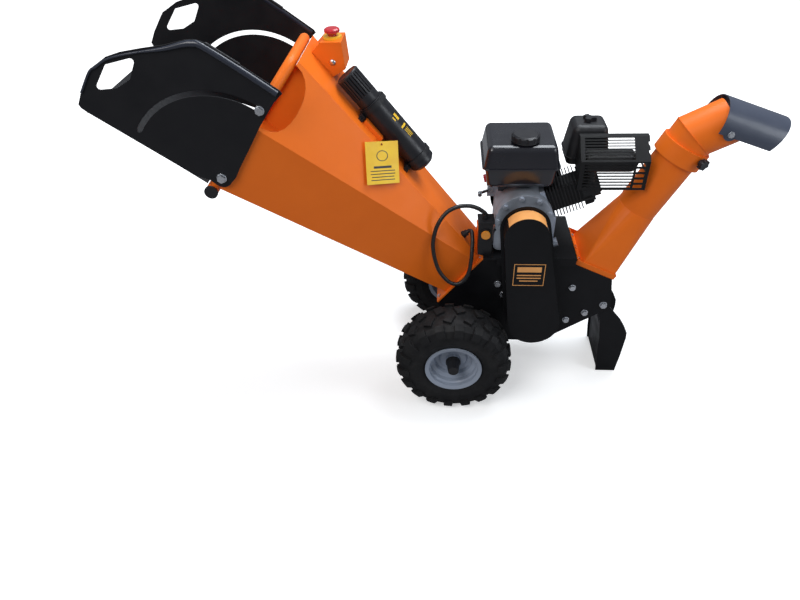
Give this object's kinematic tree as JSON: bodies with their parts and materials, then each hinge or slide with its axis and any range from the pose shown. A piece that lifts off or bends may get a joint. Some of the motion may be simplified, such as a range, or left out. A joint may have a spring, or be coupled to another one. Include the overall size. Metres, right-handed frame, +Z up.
{
  "type": "petrol garden shredder",
  "caption": "Wheeled petrol garden shredder with a folding infeed hopper, belt-driven rotor housing and a swivelling discharge chute.",
  "frame": {"origin": "on the ground under the middle of the machine's length and width, measured without the cable loop", "axes": "+X from the infeed hopper towards the discharge chute, +Y from the belt guard side towards the starter side, +Z up"},
  "size_m": [1.7448, 0.563, 1.1422],
  "materials": {
    "housing_black": "satin powder coat",
    "hopper_orange": "satin powder coat",
    "flap_black": "fine satin powder coat",
    "steel": "zinc plated",
    "rotor_steel": "machined",
    "blade_steel": "ground",
    "tyre": "moulded",
    "rim_silver": "silver paint",
    "black_plastic": "moulded",
    "belt_rubber": "plain",
    "alloy": "die cast",
    "engine_black": "black paint",
    "tank_black": "gloss moulded",
    "guard_black": "heat resistant paint",
    "muffler_steel": "heat resistant paint",
    "stop_red": "moulded",
    "collar_yellow": "moulded",
    "button_amber": "moulded",
    "tag_yellow": "coated card",
    "conduit": "corrugated sleeve",
    "switch_red": "moulded"
  },
  "bodies": {
    "machine": {"side_plates": "housing_black", "rotor_casing": "housing_black", "engine_deck": "housing_black", "axle": "steel", "rotor_bearings": "housing_black", "anvil": "blade_steel", "guard_backplate": "housing_black", "guard_cover": "housing_black", "drive_belts": "belt_rubber", "hopper_shell": "hopper_orange", "hopper_flange": "hopper_orange", "mouth_hoop": "hopper_orange", "tube_caps": "black_plastic", "pivot_bolts": "steel", "stop_box": "hopper_orange", "stop_collar": "collar_yellow", "canister": "black_plastic", "canister_clips": "black_plastic", "hang_tag": "tag_yellow", "chute": "hopper_orange", "leg": "housing_black", "frame_bolts": "steel", "crankcase": "alloy", "cylinder_block": "engine_black", "valve_cover": "engine_black", "fuel_tank": "tank_black", "air_cleaner": "black_plastic", "carburettor": "alloy", "muffler": "muffler_steel", "muffler_guard": "guard_black", "fan_housing": "black_plastic", "recoil_starter": "black_plastic", "switch_box": "black_plastic", "cable_gland": "black_plastic", "cable_loop": "conduit"},
    "wheel_left": {"tyre_left": "tyre", "rim_left": "rim_silver", "hub_cap_left": "black_plastic"},
    "wheel_right": {"tyre_right": "tyre", "rim_right": "rim_silver", "hub_cap_right": "black_plastic"},
    "rotor": {"rotor": "rotor_steel", "rotor_blades": "blade_steel", "rotor_pulley": "rotor_steel"},
    "crank": {"crankshaft": "rotor_steel", "clutch_pulley": "rotor_steel"},
    "infeed": {"infeed_flaps": "flap_black", "infeed_floor": "flap_black"},
    "elbow": {"chute_elbow": "hopper_orange", "deflector_bolts": "steel"},
    "deflector": {"deflector": "flap_black"},
    "stop_button": {"stop_button": "stop_red"},
    "switch_button": {"switch_button": "button_amber"},
    "canister_cap": {"canister_cap": "black_plastic"},
    "fuel_cap": {"fuel_cap": "black_plastic"},
    "air_knob": {"air_knob": "black_plastic"},
    "chute_knob": {"chute_knob": "black_plastic"},
    "throttle_lever": {"throttle_lever": "steel"},
    "choke_lever": {"choke_lever": "steel"},
    "engine_switch": {"engine_switch": "switch_red"}
  },
  "joints": [
    {"name": "wheel_left_spin", "type": "hinge", "parent": "machine", "child": "wheel_left", "pos_m": [0.01844, -0.2115, 0.1775], "axis": [0, 1, 0], "continuous": true},
    {"name": "wheel_right_spin", "type": "hinge", "parent": "machine", "child": "wheel_right", "pos_m": [0.01844, 0.2115, 0.1775], "axis": [0, 1, 0], "continuous": true},
    {"name": "rotor_spin", "type": "hinge", "parent": "machine", "child": "rotor", "pos_m": [0.25844, 0, 0.28], "axis": [0, 1, 0], "continuous": true},
    {"name": "crank_spin", "type": "hinge", "parent": "machine", "child": "crank", "pos_m": [0.21144, 0, 0.59], "axis": [0, 1, 0], "continuous": true},
    {"name": "infeed_fold", "type": "hinge", "parent": "machine", "child": "infeed", "pos_m": [-0.57099, 0, 0.80838], "axis": [0, 1, 0], "range_deg": [0, 86]},
    {"name": "elbow_swivel", "type": "hinge", "parent": "machine", "child": "elbow", "pos_m": [0.62287, 0, 0.76048], "axis": [0.4305, 0, 0.9026], "range_deg": [-170, 170]},
    {"name": "deflector_tilt", "type": "hinge", "parent": "elbow", "child": "deflector", "pos_m": [0.70826, 0, 0.83886], "axis": [0, 1, 0], "range_deg": [-44, 20]},
    {"name": "stop_button_press", "type": "slide", "parent": "machine", "child": "stop_button", "axis": [0, 0, -1], "range_m": [0, 0.004]},
    {"name": "switch_button_press", "type": "slide", "parent": "machine", "child": "switch_button", "axis": [0, 1, 0], "range_m": [0, 0.003], "stiffness_N_per_m": 400},
    {"name": "canister_cap_turn", "type": "hinge", "parent": "machine", "child": "canister_cap", "pos_m": [-0.26853, -0.012, 0.98697], "axis": [0.6143, 0, -0.7891], "continuous": true},
    {"name": "fuel_cap_turn", "type": "hinge", "parent": "machine", "child": "fuel_cap", "pos_m": [0.20144, -0.02, 0.803], "axis": [0, 0, 1], "range_deg": [0, 90]},
    {"name": "air_knob_turn", "type": "hinge", "parent": "machine", "child": "air_knob", "pos_m": [0.38244, 0.068, 0.822], "axis": [0, 0, 1], "continuous": true},
    {"name": "chute_knob_turn", "type": "hinge", "parent": "machine", "child": "chute_knob", "pos_m": [0.62846, 0, 0.77221], "axis": [0.4098, -0.891, -0.1954], "continuous": true},
    {"name": "throttle_move", "type": "hinge", "parent": "machine", "child": "throttle_lever", "pos_m": [0.12144, 0.032, 0.626], "axis": [0, 1, 0], "range_deg": [-20, 30]},
    {"name": "choke_move", "type": "hinge", "parent": "machine", "child": "choke_lever", "pos_m": [0.42344, 0.07, 0.69], "axis": [1, 0, 0], "range_deg": [-40, 0]},
    {"name": "engine_switch_rock", "type": "hinge", "parent": "machine", "child": "engine_switch", "pos_m": [0.10944, 0.052, 0.654], "axis": [0, 1, 0], "range_deg": [0, 24]}
  ],
  "couplings": [
    {"joint": "crank_spin", "follows": "rotor_spin", "ratio": 1.4048}
  ]
}
